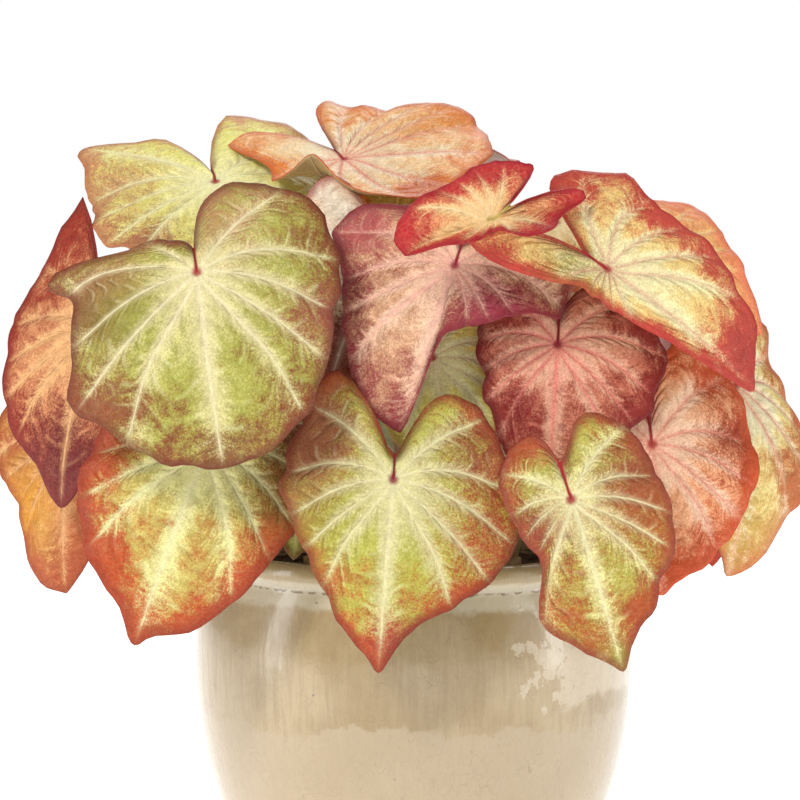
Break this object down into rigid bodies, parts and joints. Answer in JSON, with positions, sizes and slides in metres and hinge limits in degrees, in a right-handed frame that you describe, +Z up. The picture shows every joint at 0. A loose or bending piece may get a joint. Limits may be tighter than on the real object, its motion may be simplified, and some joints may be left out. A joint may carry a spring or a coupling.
{
  "type": "potted caladium",
  "caption": "Potted caladium: broad heart-shaped blades in lime, gold, coral and rose on arching stalks, in a bellied glazed pot with a rolled lip.",
  "frame": {"origin": "centre of the pot's flat base, on the surface it stands on", "axes": "+Z up along the pot's axis; -Y towards the front of the plant; +X to the right as seen from the front"},
  "size_m": [0.4878, 0.3672, 0.4928],
  "materials": {
    "pot": "glossy cream glaze over tan clay, finely crazed and drybrushed",
    "soil": "dark, loose, bark-based potting mix",
    "stalks": "satin reddish leaf stalk",
    "blade_amber": "satin leaf, golden yellow flushed orange-red",
    "blade_coral": "satin leaf, salmon pink flushed orange-red",
    "blade_crimson": "satin leaf, vivid crimson with a yellow-green midrib",
    "blade_lime": "satin leaf, yellow-green and cream, speckled, with a rosy margin",
    "blade_pink": "satin leaf, pale pink with a crimson margin",
    "blade_rose": "satin leaf, dusty rose with crimson veins and margin"
  },
  "bodies": {
    "root": {"pot": "pot", "soil": "soil", "stalks_left": "stalks", "stalks_right": "stalks", "stalks_back": "stalks", "blade_front_centre": "blade_lime", "blade_front_right": "blade_lime", "blade_front_left": "blade_amber", "blade_front_low": "blade_lime", "blade_broad_left": "blade_lime", "blade_rose_centre": "blade_rose", "blade_rose_right": "blade_rose", "blade_small_crimson": "blade_crimson", "blade_gold_right": "blade_amber", "blade_coral_right": "blade_coral", "blade_far_right": "blade_amber", "blade_amber_right": "blade_amber", "blade_low_right": "blade_coral", "blade_hanging_left": "blade_coral", "blade_low_left": "blade_amber", "blade_orange_top": "blade_coral", "blade_lime_top": "blade_lime", "blade_pink_inner": "blade_pink", "blade_green_inner": "blade_lime", "blade_pale_inner": "blade_lime", "blade_orange_inner": "blade_crimson", "blade_back_centre": "blade_rose", "blade_back_left": "blade_lime", "blade_back_right": "blade_coral", "blade_back_low": "blade_lime", "blade_back_low_left": "blade_amber", "blade_back_low_right": "blade_coral", "blade_back_top": "blade_pink", "blade_left_back": "blade_amber", "blade_right_back": "blade_rose", "blade_left_low_back": "blade_coral"}
  },
  "joints": []
}
